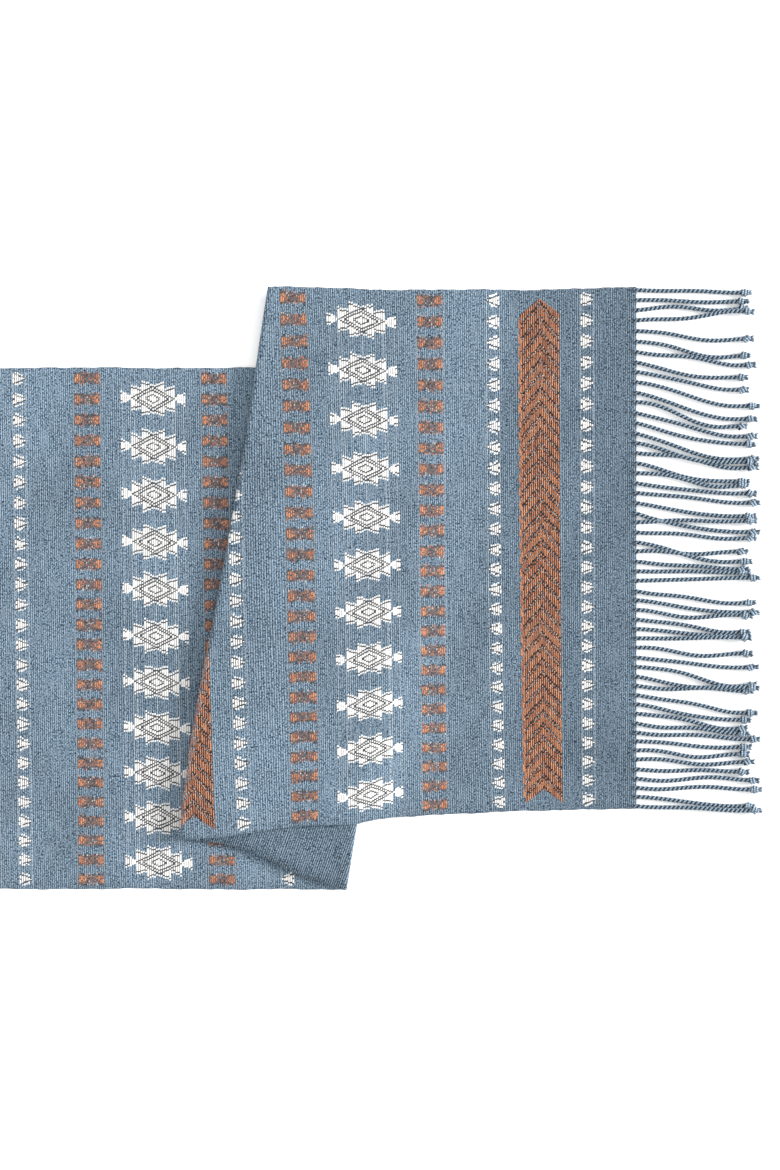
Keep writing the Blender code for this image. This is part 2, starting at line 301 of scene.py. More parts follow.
def bend_start(plan_of, fold, w, q):
    """The q at which cloth at w starts to bend over a fold, found by a few corrections from q."""
    for _ in range(6):
        q += (fold.radius - fold.inside(plan_of(q, w), w / WIDTH)) / fold.inwards.x
    return q


def middle_layer_place(start, end, share, v):
    """A place on the middle layer, between the feet of the lower and the upper fold."""
    place = start.lerp(end, share)
    place.y += (middle_low_lift(share) + ripple(share * 0.12, 5, 0.35 * MM)) * (1 - v) ** 2
    place.z = MIDDLE_Z
    return place


def cloth_shell(name, rows, finish):
    """A closed sheet through rows of (place, front normal, q, w), each row a line across the cloth."""
    across = len(rows[0])
    ring_size = 2 * across + 2
    verts = []
    patterns = []
    for row in rows:
        fronts = [place + normal * HALF_CLOTH for place, normal, _, _ in row]
        backs = [place - normal * HALF_CLOTH for place, normal, _, _ in row]
        high_edge = row[-1][0] + (row[-1][0] - row[-2][0]).normalized() * SELVEDGE_ROUNDING
        low_edge = row[0][0] + (row[0][0] - row[1][0]).normalized() * SELVEDGE_ROUNDING
        verts += [*fronts, high_edge, *reversed(backs), low_edge]
        sides = [(q, w) for _, _, q, w in row]
        patterns += [(q, w, 0) for q, w in sides]
        patterns.append((*sides[-1], 0.5))
        patterns += [(q, w, 1) for q, w in reversed(sides)]
        patterns.append((*sides[0], 0.5))
    faces = []
    for r in range(len(rows) - 1):
        for i in range(ring_size):
            j = (i + 1) % ring_size
            start = r * ring_size
            faces.append((start + i, start + ring_size + i, start + ring_size + j, start + j))
    for start, turned in ((0, False), ((len(rows) - 1) * ring_size, True)):
        caps = [(start, start + ring_size - 2, start + ring_size - 1)]
        caps.append((start + across - 1, start + across, start + across + 1))
        for i in range(across - 1):
            caps.append((start + i, start + i + 1, start + ring_size - 3 - i, start + ring_size - 2 - i))
        faces += [tuple(reversed(cap)) for cap in caps] if turned else caps
    return new_mesh(name, verts, faces, patterns, finish)


def across_places():
    """The w of each column of the sheets' meshes."""
    return [WIDTH * column / COLUMNS_ACROSS for column in range(COLUMNS_ACROSS + 1)]


def fold_feet():
    """For each w: where each fold's bend starts, as a q and as a place in plan."""
    feet = []
    for w in across_places():
        lower_q = bend_start(lower_plan, lower_fold, w, 0.58)
        upper_q = bend_start(upper_plan, upper_fold, w, 0.48)
        feet.append((w, lower_q, lower_plan(lower_q, w), upper_q, upper_plan(upper_q, w)))
    return feet


def make_main_cloth(finish):
    """The bottom layer, the lower fold and the middle layer up to the seam of the two meshes."""
    feet = fold_feet()
    rows = []
    steps = 360
    for step in range(steps + 1):
        row = []
        for w, lower_q, _, _, _ in feet:
            q = -CLOTH_END + (lower_q + CLOTH_END) * step / steps
            place, normal = lower_surface(q, w)
            row.append((place, normal, q, w))
        rows.append(row)
    for step in range(1, ARC_STEPS + 1):
        angle = math.pi * step / ARC_STEPS
        row = []
        for w, lower_q, foot, _, _ in feet:
            place, normal = lower_fold.arc(foot, angle)
            row.append((place, normal, lower_q + lower_fold.radius * angle, w))
        rows.append(row)
    steps = 40
    for step in range(1, steps + 1):
        row = []
        for w, lower_q, start, _, end in feet:
            length = (end - start).length
            share = (1 - SHEET_SEAM / length) * step / steps
            place = middle_layer_place(start, end, share, w / WIDTH)
            q = lower_q + math.pi * lower_fold.radius + length * share
            row.append((place, -UP, q, w))
        rows.append(row)
    return cloth_shell("main_cloth", rows, finish)


def make_end_cloth(finish):
    """The last of the middle layer, the upper fold and the top layer."""
    feet = fold_feet()
    rows = []
    steps = 4
    for step in range(steps):
        row = []
        for w, _, start, upper_q, end in feet:
            length = (end - start).length
            distance = SHEET_SEAM * (1 - step / steps)
            place = middle_layer_place(start, end, 1 - distance / length, w / WIDTH)
            q = upper_q - math.pi * upper_fold.radius - distance
            row.append((place, -UP, q, w))
        rows.append(row)
    for step in range(ARC_STEPS):
        angle = math.pi * (1 - step / ARC_STEPS)
        row = []
        for w, _, _, upper_q, foot in feet:
            place, normal = upper_fold.arc(foot, angle)
            row.append((place, normal, upper_q - upper_fold.radius * angle, w))
        rows.append(row)
    steps = 110
    for step in range(steps + 1):
        row = []
        for w, _, _, upper_q, _ in feet:
            q = upper_q + (CLOTH_END - upper_q) * step / steps
            place, normal = upper_surface(q, w)
            row.append((place, normal, q, w))
        rows.append(row)
    return cloth_shell("end_cloth", rows, finish)


# ---------------------------------------------------------------- the brocade


# How far a float's ends may stray from the draft, in millimetres
LOOSENESS = {"diamond": 0.16, "tooth": 0.4, "bow": 0.4, "chevron": 0.25}
EDGE_MARGIN = 0.6 * MM  # what a float leaves free beside a selvedge
SHORTEST_FLOAT = 0.5 * MM

# Tones above 1 tell the brocade material that a yarn isn't a plain brocade float
CARRIED_TONE = 3.0  # mostly sunk in the ground
SPECK_TONE = 5.0  # a short float of ground yarn, from pale at 5 to blue at 6
GROUND_AND_SHADE_TONE = 8.0  # the ground between floats: its own dark yarn, with painted shade where it sinks between the raised floats
MIXED_TONE = 10.0  # the mottled ground of the bow ties


class Gathered:
    """Yarns gathered into one mesh, with random numbers of their own."""

    def __init__(self, seed):
        self.random = random.Random(seed)
        self.verts = []
        self.faces = []
        self.patterns = []

    def build(self, name, finish):
        return new_mesh(name, self.verts, self.faces, self.patterns, finish)


class Yarns(Gathered):
    """Raised brocade yarns of one row."""

    def __init__(self, surface, centre, seed, looseness):
        super().__init__(seed)
        self.surface = surface
        self.centre = centre
        self.looseness = looseness * MM

    def add(self, u, low, high, width=1.7 * MM, height=FLOAT_HEIGHT, tone=None):
        """A float at u from the row's centre, from low to high across the cloth."""
        vary = self.random.uniform
        q = self.centre + u + vary(-0.07, 0.07) * MM
        low += vary(-self.looseness, self.looseness)
        high += vary(-self.looseness, self.looseness)
        low, high = max(low, EDGE_MARGIN), min(high, WIDTH - EDGE_MARGIN)
        if high - low < SHORTEST_FLOAT:
            return
        height *= vary(0.88, 1.12)
        tone = vary(0, 1) if tone is None else tone
        dip = min(0.45 * MM, 0.3 * (high - low))
        stations = ((low, -0.1), (low + dip, 1.0), (high - dip, 1.0), (high, -0.1))
        placed = [self.surface(q, w) for w, _ in stations]
        along = (placed[3][0] - placed[0][0]).normalized()
        start = len(self.verts)
        for (place, normal), (w, lift) in zip(placed, stations, strict=True):
            side = along.cross(normal).normalized() * (width / 2)
            base = place + normal * HALF_CLOTH
            crown = base + normal * (height * lift)
            foot = base - normal * (0.12 * MM)
            self.verts += [foot - side, crown, foot + side]
            self.patterns += [(u - width / 2, w, tone), (u, w, tone), (u + width / 2, w, tone)]
        for i in range(3):
            a = start + 3 * i
            self.faces.append((a, a + 1, a + 4, a + 3))
            self.faces.append((a + 1, a + 2, a + 5, a + 4))

    def underlay(self, u, low, high, width, tone=GROUND_AND_SHADE_TONE):
        """The ground between floats: a flat strip that lies just on the cloth, by default dark yarn with
        painted shade.
        """
        steps = max(1, math.ceil((high - low) / (12 * MM)))
        start = len(self.verts)
        for step in range(steps + 1):
            w = low + (high - low) * step / steps
            for side in (-0.5, 0.5):
                place, normal = self.surface(self.centre + u + side * width, w)
                self.verts.append(place + normal * (HALF_CLOTH + 0.04 * MM))
                self.patterns.append((u + side * width, w, tone))
        for step in range(steps):
            a = start + 2 * step
            self.faces.append((a, a + 1, a + 3, a + 2))


def spans_between(low, high, cuts, gap):
    """The parts of low to high that are left when a gap is cut at each of some places."""
    spans = []
    start = low
    for cut in sorted(cuts):
        if cut - gap / 2 > start:
            spans.append((start, cut - gap / 2))
        start = max(start, cut + gap / 2)
    if high > start:
        spans.append((start, high))
    return spans


DIAMOND_COLUMN = 1.55  # between a diamond's columns as drafted, in millimetres
DIAMOND_LINE = 0.55  # width of the lines left open in a diamond, in millimetres
DIAMOND_SKEW = 0.03
DIAMOND_OUTLINES = ((2.6, 5.9), (5.4, 11.9), (7.6, 15.6))  # half height and half width of its inner lines

# The diamonds of each layer: the spacing of their columns in millimetres and how tall they are drawn
TOP_DIAMONDS = (1.55, 1.0)
BOTTOM_DIAMONDS = (1.43, 1.06)


def diamond_reach(u):
    """Half height of a diamond's column in millimetres, at u from its middle: body, step, waist, arm."""
    if u < 8.5:
        return 9.0 + 0.29 * u
    if u < 16.1:
        return 6.5 + 0.28 * (u - 9.3)
    if u < 17.2:
        return 1.2
    return 2.0 + 0.34 * (u - 17.2)


def weave_diamonds(yarns, column_pitch, tallness):
    """A row of stepped diamonds with arms on both sides, and the fine yarns carried between them."""
    for motif in range(DIAMONDS):
        for column in range(-15, 16):
            middle = DIAMOND_START + motif * DIAMOND_PITCH - DIAMOND_SKEW * column * column_pitch * MM
            u = abs(column) * DIAMOND_COLUMN
            reach = diamond_reach(u) + yarns.random.uniform(-0.5, 0.5)
            cuts = []
            for half_height, half_width in DIAMOND_OUTLINES:
                cut = half_height * (1 - u / half_width)
                if cut > 0:
                    cuts += [-cut, cut]
            if reach > 3.5:
                cuts += [1.7 - reach, reach - 1.7]
            inside = (reach - 1.3) * tallness * MM
            place = column * column_pitch * MM
            yarns.underlay(place, middle - inside, middle + inside, column_pitch * MM)
            for low, high in spans_between(-reach, reach, cuts, DIAMOND_LINE):
                width = 1.35 if high - low > 2 else 1.08
                low, high = low * tallness * MM, high * tallness * MM
                yarns.add(place, middle + low, middle + high, width * column_pitch * MM)
    for column in (-14.5, -10.7, -9, 0.2, 9.3, 10.6, 14.5):
        u = column * column_pitch
        clear = diamond_reach(abs(column) * DIAMOND_COLUMN) * tallness * MM
        for motif in range(DIAMONDS - 1):
            middle = DIAMOND_START + motif * DIAMOND_PITCH
            carry_yarn(yarns, u * MM, middle + clear, middle + DIAMOND_PITCH - clear)


def carry_yarn(yarns, u, low, high):
    """A fine yarn that runs on between motifs, mostly sunk into the ground."""
    place = low
    while place < high - 1 * MM:
        length = yarns.random.uniform(1.5, 4.5) * MM
        yarns.add(u, place, min(place + length, high), 0.66 * MM, 0.14 * MM, CARRIED_TONE)
        place += length + yarns.random.uniform(0.1, 0.6) * MM


TOOTH_COLUMN = 1.45 * MM


def weave_teeth(yarns, point_side):
    """A row of small triangles whose points are on the given side of the row."""
    for motif in range(SMALL_MOTIFS):
        middle = SMALL_START + motif * SMALL_PITCH
        for column in range(6):
            u = point_side * (column - 2.5) * TOOTH_COLUMN
            body = 3.1 - 0.50 * column
            cuts = [0.0] if column == 0 else []
            yarns.underlay(u, middle - (body + 0.5) * MM, middle + (body + 0.5) * MM, TOOTH_COLUMN)
            for low, high in spans_between(-body, body, cuts, 0.7):
                yarns.add(u, middle + low * MM, middle + high * MM, 1.75 * MM)
            if 0 < column < 5:
                for side in (-1, 1):
                    dot = middle + side * (body + 1.2 + yarns.random.uniform(-0.2, 0.6)) * MM
                    yarns.add(u, dot - 0.75 * MM, dot + 0.75 * MM, 1.6 * MM)
    carry_yarn(yarns, point_side * 4.6 * MM, 3 * MM, WIDTH - 3 * MM)
    carry_yarn(yarns, -point_side * 4.4 * MM, 3 * MM, WIDTH - 3 * MM)


BOW_BODY = (0.0, 0.0, 0.0, 1.3, 2.1, 2.7, 2.4)  # half height of each column, from the middle out
BOW_COLUMN = 1.32 * MM
BOW_DOT_PITCH = 1.1  # in millimetres, across the cloth


def fuzz_tone(chance, next_to_block):
    """Tone of a small float in a bow tie: mostly dark with painted shade beside a block, else dull rust,
    blue or dark.
    """
    kind = chance()
    if kind < (0.72 if next_to_block else 0.4):
        return GROUND_AND_SHADE_TONE
    if kind < (0.9 if next_to_block else 0.8):
        return 0.6 * chance()
    return SPECK_TONE + chance()


def weave_bows(yarns):
    """A row of bow ties: two blocks that narrow towards a mottled middle."""
    chance = yarns.random.random
    for motif in range(SMALL_MOTIFS):
        middle = SMALL_START + motif * SMALL_PITCH
        for column in range(-6, 7):
            u = column * BOW_COLUMN
            body = BOW_BODY[abs(column)]
            reach = 3.6 + 0.1 * abs(column) + 0.9 * chance()
            shaded = (reach - 0.9) * MM
            yarns.underlay(u, middle - shaded, middle + shaded, BOW_COLUMN, MIXED_TONE)
            if body:
                split = (chance() - 0.5) * body
                yarns.add(u, middle - body * MM, middle + (split - 0.2) * MM, 1.4 * MM, 0.38 * MM)
                yarns.add(u, middle + (split + 0.2) * MM, middle + body * MM, 1.4 * MM, 0.38 * MM)
            for row in range(-4, 5):
                dot = (row + 0.5 * (column % 2)) * BOW_DOT_PITCH
                outside = abs(dot) - body
                if outside < 0.4 or abs(dot) > reach or chance() > 0.85:
                    continue
                tone = fuzz_tone(chance, body > 0 and outside < 1.4)
                low, high = middle + (dot - 0.5) * MM, middle + (dot + 0.5) * MM
                yarns.add(u, low, high, 1.1 * MM, 0.26 * MM, tone)
    for side in (-1, 1):
        carry_yarn(yarns, side * 9.3 * MM, 4 * MM, WIDTH - 4 * MM)


CHEVRON_COLUMN = 1.40 * MM
CHEVRON_REPEAT = 9.2 * MM  # across the cloth
CHEVRON_FLOATS = ((0.0, 5.7), (6.3, 1.5))  # where a repeat's floats start and their lengths, in mm
CHEVRON_SLOPE = 1.07  # how far its lines run down for each step away from the strip's middle
CHEVRON_POINT_SLOPE = 0.73  # the same for the point at its upper end
CHEVRON_PHASE = 6.6  # how far below the strip's lower end its first repeat starts, in mm
NOTCH_HALF_WIDTH = 13.3 * MM


def weave_chevrons(yarns):
    """A broad strip of nested chevrons with a point at its upper end and a notch at its lower end."""
    bottom, top = 5 * MM, WIDTH - 5.5 * MM
    chance = yarns.random.random
    for column in range(-9, 10):
        u = column * CHEVRON_COLUMN
        low = bottom + max(0.0, 10 * (1 - abs(u) / NOTCH_HALF_WIDTH)) * MM
        high = top - CHEVRON_POINT_SLOPE * abs(u)
        start = bottom - CHEVRON_SLOPE * abs(u) - (CHEVRON_PHASE - 0.9 * chance()) * MM
        yarns.underlay(u, low + 0.3 * MM, high - 0.3 * MM, CHEVRON_COLUMN)
        while start < high:
            for offset, length in CHEVRON_FLOATS:
                first = max(start + offset * MM, low)
                last = min(start + (offset + length) * MM, high)
                if last - first > 0.4 * MM:
                    yarns.add(u, first, last, 1.08 * MM, 0.42 * MM)
            for offset, share in ((6.0, 0.8), (8.25, 0.9), (1 + 3.5 * chance(), 0.9)):
                middle = start + offset * MM
                if low + 0.5 * MM < middle < high - 1 * MM and chance() < share:
                    aside = (chance() - 0.5) * 0.9 * MM
                    # a pale or blue speck, else a dark one in the ground tone that holds painted shade
                    tone = SPECK_TONE + chance() if chance() < 0.72 else GROUND_AND_SHADE_TONE
                    yarns.add(u + aside, middle - 0.5 * MM, middle + 0.5 * MM, 0.85 * MM, 0.5 * MM, tone)
            start += CHEVRON_REPEAT
    # The edging on the strip's left side: two columns of longer floats
    place = bottom + 4 * MM
    while place < top - 19 * MM:
        yarns.add(-13.5 * MM, place - 0.4 * MM, place + 3.9 * MM, 1.2 * MM, 0.35 * MM)
        yarns.add(-13.5 * MM, place + 4.2 * MM, place + 8.4 * MM, 1.0 * MM, 0.3 * MM)
        yarns.add(-14.4 * MM, place + 0.2 * MM, place + 5.6 * MM, 1.0 * MM, 0.3 * MM)
        place += CHEVRON_REPEAT
    carry_yarn(yarns, 14.0 * MM, bottom + 2 * MM, top - 8 * MM)


# ---------------------------------------------------------------- the fringe


class Strands(Gathered):
    """Round yarns."""

    def tube(self, centres, radii, cores=None, sides=6):
        """A closed tube through some points.

        Cores are the points it is wound round, one for each: its pattern says which side faces them, and
        the cord material paints that side in shade.
        """
        tone = self.random.random()
        start = len(self.verts)
        length = 0.0
        side = None
        for i, (centre, radius) in enumerate(zip(centres, radii, strict=True)):
            before = centres[max(i - 1, 0)]
            after = centres[min(i + 1, len(centres) - 1)]
            direction = (after - before).normalized()
            if side is None:
                side = direction.cross(UP if abs(direction.z) < 0.9 else Vector((1, 0, 0))).normalized()
            side = (side - direction * side.dot(direction)).normalized()
            other = direction.cross(side)
            length += (centre - before).length
            for k in range(sides):
                angle = 2 * math.pi * k / sides
                out = side * math.cos(angle) + other * math.sin(angle)
                inner = 0.0 if cores is None else out.dot((cores[i] - centre).normalized())
                self.verts.append(centre + out * radius)
                self.patterns.append((length, inner, tone))
        rings = len(centres)
        for r in range(rings - 1):
            a, b = start + r * sides, start + (r + 1) * sides
            for k in range(sides):
                m = (k + 1) % sides
                self.faces.append((a + k, a + m, b + m, b + k))
        self.faces.append(tuple(reversed(range(start, start + sides))))
        self.faces.append(tuple(range(start + (rings - 1) * sides, start + rings * sides)))


def cord_path(root, outwards, length, drift, early, bow, lift):
    """Points along a cord's middle, from inside the cloth's end to its knot.

    Early is the share of its sideways drift that comes near its root. It bows on the way, and lift
    raises its outer part.
    """
    rest_z = PLY_OFFSET + PLY_RADIUS
    steps = max(8, round(length / CORD_STEP))
    points = []
    for step in range(steps + 1):
        share = step / steps
        x = root.x + outwards * length * share
        settled = early * (1 - (1 - share) ** 2.2) + (1 - early) * smooth(1.15 * share)
        y = root.y + drift * settled
        y += bow * math.sin(math.pi * share) * math.sin(5 * share + 30 * bow / MM)
        z = LOWER_Z + (rest_z - LOWER_Z) * smooth(share * length / (5 * MM))
        z += lift * smooth((share - 0.25) / 0.3)
        points.append(Vector((x, y, z)))
    return points


def make_cord(strands, path):
    """Two plies twisted together along a path, then a knot and a short frayed tail."""
    vary = strands.random.uniform
    turn = vary(0, 2 * math.pi)
    tail = vary(2.4, 3.4) * MM
    knot_at = len(path) - 1
    direction = (path[-1] - path[-3]).normalized()
    for step in range(1, 5):
        path.append(path[knot_at] + direction * tail * step / 4)
    plies = ([], [])
    core = []
    radii = []
    travelled = 0.0
    for i, centre in enumerate(path):
        if i:
            travelled += (centre - path[i - 1]).length
        ahead = (path[min(i + 1, len(path) - 1)] - path[max(i - 1, 0)]).normalized()
        side = UP.cross(ahead).normalized()
        above = ahead.cross(side)
        loosened = smooth((i - knot_at) / 4)
        core.append(centre)
        gathered = smooth(travelled / (3 * MM))
        offset = PLY_OFFSET * (0.75 + 0.25 * gathered) + 0.5 * MM * loosened
        angle = turn - 2 * math.pi * travelled / TWIST_PITCH
        across = side * math.cos(angle) + above * math.sin(angle) * (1 - 0.5 * loosened)
        for ply, sign in zip(plies, (1, -1), strict=True):
            point = centre + across * offset * sign
            point.z = max(point.z, PLY_RADIUS * 0.9)
            ply.append(point)
        radii.append(PLY_RADIUS * (0.9 + 0.1 * gathered) * (1 - 0.15 * loosened))
    for ply in plies:
        # the cord's middle is each ply's core, so the sides where the plies meet get painted shade
        strands.tube(ply, radii, core)
    make_knot(strands, path[knot_at], direction)
    make_frayed_end(strands, path[-1], direction)


KNOT_TURNS = 1.4
KNOT_STRAND = 0.94 * MM  # radius


def make_knot(strands, middle, direction):
    """Two strands wound round the cord side by side, which is what an overhand knot looks like."""
    vary = strands.random.uniform
    side = UP.cross(direction).normalized()
    direction = (direction + side * vary(-0.7, 0.7)).normalized()
    side = UP.cross(direction).normalized()
    above = direction.cross(side)
    turn = vary(0, 2 * math.pi)
    length = vary(1.6, 3.0) * MM
    radius = vary(1.85, 2.25) * MM
    steps = 16
    for shift in (-0.95 * MM, 0.95 * MM):
        centres = []
        spine = []
        for step in range(steps + 1):
            share = step / steps
            angle = turn + 2 * math.pi * KNOT_TURNS * share
            out = radius * math.sin(math.pi * (0.10 + 0.80 * share)) ** 0.6
            spine.append(middle + direction * ((share - 0.5) * length + shift))
            centre = spine[-1] + (side * math.cos(angle) + above * math.sin(angle)) * out
            centre.z = max(centre.z, 1.05 * MM)
            centres.append(centre)
        # the spine is their core, so the sides of the strands that face it get painted shade
        strands.tube(centres, [KNOT_STRAND] * (steps + 1), spine)


def make_frayed_end(strands, end, direction):
    """The cut yarns beyond the knot, which flare out like a small brush."""
    vary = strands.random.uniform
    side = UP.cross(direction).normalized()
    flare = vary(0.8, 1.4)
    for strand in range(5):
        aside = side * ((strand - 2) * 0.85 * MM * flare + vary(-0.25, 0.25) * MM)
        tip = end + direction * vary(1.4, 2.8) * MM + aside
        tip.z = max(0.5 * MM, end.z + vary(-0.8, 0.8) * MM)
        start = end - direction * 1.2 * MM + aside * 0.3
        # points below the strands as their cores, so that their undersides get painted shade
        low = [point - UP * 1.0 * MM for point in (start, tip)]
        centres = [start, start.lerp(tip, 0.6), tip]
        strands.tube(centres, [0.56 * MM, 0.58 * MM, 0.40 * MM], [low[0], low[0], low[1]])


# How far each cord's tip is from its root across the cloth, in millimetres, from the higher selvedge down.
# Neighbours whose tips draw together form the fringe's loose bundles.
END_DRIFTS = (
    -2, -1, 1, 6, -5.5, -10, -9.5, -11, -12.5, -16.5, -18.5, -16.5, -16.5, -15, -18, -13.5, -10, -13, -8.5,
    -7.5, -7, -9.5, -13.5, 1, -4, -13.5, 0, -5.5, -1, 2, -8.5, -8.5, -4, -9, -4.5, 0.5, -4, -7, -13, -8, -4,
    -12.5, -11, -10.5, -7.5, -5, -4, -2.5, -1.5, -2, -1.5, -1.5, -6.5, -3
)
MAIN_DRIFTS = (
    3, 4, 6, 8, 9, 3, -3, -4, -5, -5, -6, -6, -1, 5, 4, 4, 3, 3, 2, 2, 5, 8, 11, 11, 12, 12, 12, -2, -3, -4,
    -5, -6, -6, -7, -1, 6, 5, 4, 3, 2, 1, 1, -2, -4, -6, -6, -5, -5, -5, -4, -4, -4, -3, -3
)


def make_fringe(outwards, surface, drifts, body, finish, seed):
    """All the cords of one end, in groups, from the higher selvedge down."""
    chance = random.Random(seed)
    cords = CORDS_PER_GROUP * GROUPS
    prefix = "end" if outwards > 0 else "main"
    pieces = []
    previous_tip = None
    groups = [Strands(seed * 100 + group) for group in range(GROUPS)]
    for cord in range(cords):
        w = WIDTH * (1 - (cord + 0.25) / (cords - 0.5))
        root, _ = surface(outwards * (CLOTH_END - 2 * MM), w)
        drift = drifts[cord] * MM
        length = (CORD_LENGTH + chance.uniform(-CORD_LENGTH_SPREAD, CORD_LENGTH_SPREAD)) * MM
        tip = root.y + drift
        close = previous_tip is not None and previous_tip - tip < 3 * MM
        lift = CROSSING_LIFT if close and cord % 2 else 0.0
        previous_tip = tip
        early = chance.uniform(0.0, 1.0)
        path = cord_path(root, outwards, length, drift, early, chance.uniform(-2.6, 2.6) * MM, lift)
        group = GROUPS - 1 - cord // CORDS_PER_GROUP
        make_cord(groups[group], path)
    for group, strands in enumerate(groups):
        node = f"{prefix}_fringe_{group + 1}"
        piece = strands.build(f"{node}_cords", finish)
        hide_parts(node)
        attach(piece, body)
        pieces.append(piece)
    return pieces


# ---------------------------------------------------------------- materials


class Recipe:
    """A material's node tree, with short calls to add nodes to it."""

    def __init__(self, name, roughness, sheen):
        self.material = bpy.data.materials.new(name)
        self.material.use_nodes = True
        self.tree = self.material.node_tree
        self.shader = self.tree.nodes["Principled BSDF"]
        self.shader.inputs["Roughness"].default_value = roughness
        self.shader.inputs["Specular IOR Level"].default_value = 0.15
        self.shader.inputs["Sheen Weight"].default_value = sheen
        self.shader.inputs["Sheen Roughness"].default_value = 0.6
        attribute = self.tree.nodes.new("ShaderNodeAttribute")
        attribute.attribute_name = "pattern"
        self.pattern = attribute.outputs["Vector"]
        parts = self.add("ShaderNodeSeparateXYZ", {0: self.pattern})
        self.along, self.across, self.third = parts.outputs

    def add(self, kind, inputs, **settings):
        """Add a node. An input may be a number, a colour or another node's output."""
        node = self.tree.nodes.new(kind)
        for name, value in settings.items():
            setattr(node, name, value)
        for key, value in inputs.items():
            if isinstance(value, bpy.types.NodeSocket):
                self.tree.links.new(value, node.inputs[key])
            else:
                node.inputs[key].default_value = value
        return node

    def calculate(self, operation, first, second=0.0):
        return self.add("ShaderNodeMath", {0: first, 1: second}, operation=operation).outputs[0]

    def times(self, first, second):
        return self.calculate("MULTIPLY", first, second)

    def plus(self, first, second):
        return self.calculate("ADD", first, second)

    def stretched(self, along, across, offset=0.0):
        """The place on the cloth, scaled differently along it and across it."""
        inputs = {"Vector": self.pattern, "Scale": (along, across, 7.0), "Location": (offset, offset, 0)}
        return self.add("ShaderNodeMapping", inputs).outputs[0]

    def noise(self, vector, scale=1.0, detail=2.0, roughness=0.6):
        inputs = {"Vector": vector, "Scale": scale, "Detail": detail, "Roughness": roughness}
        return self.add("ShaderNodeTexNoise", inputs).outputs[0]

    def wave(self, place, pitch, wander=0.0):
        """A wave from 0 to 1 along a place, with a pitch in metres. It may wander by some waves."""
        phase = self.times(place, 2 * math.pi / pitch)
        if wander:
            phase = self.plus(phase, wander)
        return self.add(
            "ShaderNodeMath", {0: self.calculate("SINE", phase), 1: 0.5, 2: 0.5}, operation="MULTIPLY_ADD"
        ).outputs[0]

    def spread(self, value, low, high, to_low=0.0, to_high=1.0):
        """Map a range of values onto another, without going beyond it."""
        inputs = {"Value": value, "From Min": low, "From Max": high, "To Min": to_low, "To Max": to_high}
        return self.add("ShaderNodeMapRange", inputs).outputs[0]

    def mix(self, share, first, second, blend_type="MIX"):
        inputs = {0: share, 6: first, 7: second}
        return self.add("ShaderNodeMix", inputs, data_type="RGBA", blend_type=blend_type).outputs[2]

    def finish(self, base_colour, height, depth):
        """Wire the colour and a bump from a height of 0 to 1."""
        bump = self.add("ShaderNodeBump", {"Height": height, "Distance": depth, "Strength": 1.0})
        self.tree.links.new(base_colour, self.shader.inputs["Base Color"])
        self.tree.links.new(bump.outputs[0], self.shader.inputs["Normal"])
        return self.material


def colour(red, green, blue):
    return (red, green, blue, 1.0)


RIB_PITCH = 1.45 * MM
END_SHADE = 0.76  # how bright the cloth is at its right end, against the rest


def ground_material():
    """Blue melange cotton in a close plain weave: upright weft ribs, fine crossings, stray specks."""
    recipe = Recipe("ground_cloth_look", 0.9, 0.05)
    wander = recipe.times(recipe.noise(recipe.stretched(220, 90), 1.0, 2.0), 2.2)
    rib = recipe.wave(recipe.along, RIB_PITCH, wander)
    checker = recipe.times(
        recipe.calculate("SINE", recipe.times(recipe.along, math.pi / RIB_PITCH)),
        recipe.calculate("SINE", recipe.times(recipe.across, 2 * math.pi / (2.1 * MM))),
    )
    melange = recipe.noise(recipe.stretched(1150, 800), 1.0, 1.0, 0.8)
    streak = recipe.noise(recipe.stretched(690, 60, 3.0), 1.0, 2.0)
    broad = recipe.noise(recipe.stretched(14, 10, 7.0), 1.0, 2.0)
    speck = recipe.noise(recipe.stretched(520, 420, 11.0), 1.0, 1.0)

    toned = recipe.mix(
        recipe.spread(melange, 0.41, 0.59), colour(0.018, 0.043, 0.073), colour(0.252, 0.346, 0.437)
    )
    toned = recipe.mix(recipe.spread(streak, 0.44, 0.64, 0.0, 0.55), toned, colour(0.235, 0.31, 0.385))
    toned = recipe.mix(recipe.spread(speck, 0.66, 0.71, 0.0, 0.85), toned, colour(0.012, 0.018, 0.035))
    toned = recipe.mix(recipe.spread(speck, 0.33, 0.28, 0.0, 0.5), toned, colour(0.40, 0.46, 0.51))
    rib_depth = recipe.spread(recipe.third, 0.4, 0.9, 0.78, 1.15)
    ribbed = recipe.times(rib, rib_depth)
    between_ribs = recipe.calculate("SUBTRACT", 0.81, recipe.times(rib_depth, 0.5))
    shade = recipe.plus(ribbed, between_ribs)
    shade = recipe.plus(shade, recipe.times(checker, 0.10))
    # broad soft patches: uneven tone, and painted shade of gentle waves that the flat cloth doesn't have
    shade = recipe.plus(shade, recipe.spread(broad, 0.32, 0.68, -0.10, 0.15))
    shade = recipe.times(shade, recipe.spread(recipe.third, 0.4, 0.9, 1.0, 0.74))
    shade = recipe.times(shade, recipe.spread(recipe.along, 0.56, 0.745, 1.0, END_SHADE))
    grey = recipe.add("ShaderNodeCombineColor", {0: shade, 1: shade, 2: shade}).outputs[0]
    toned = recipe.mix(1.0, toned, grey, "MULTIPLY")
    height = recipe.plus(rib, recipe.times(checker, 0.4))
    height = recipe.plus(height, melange)
    return recipe.finish(toned, height, 0.12 * MM)


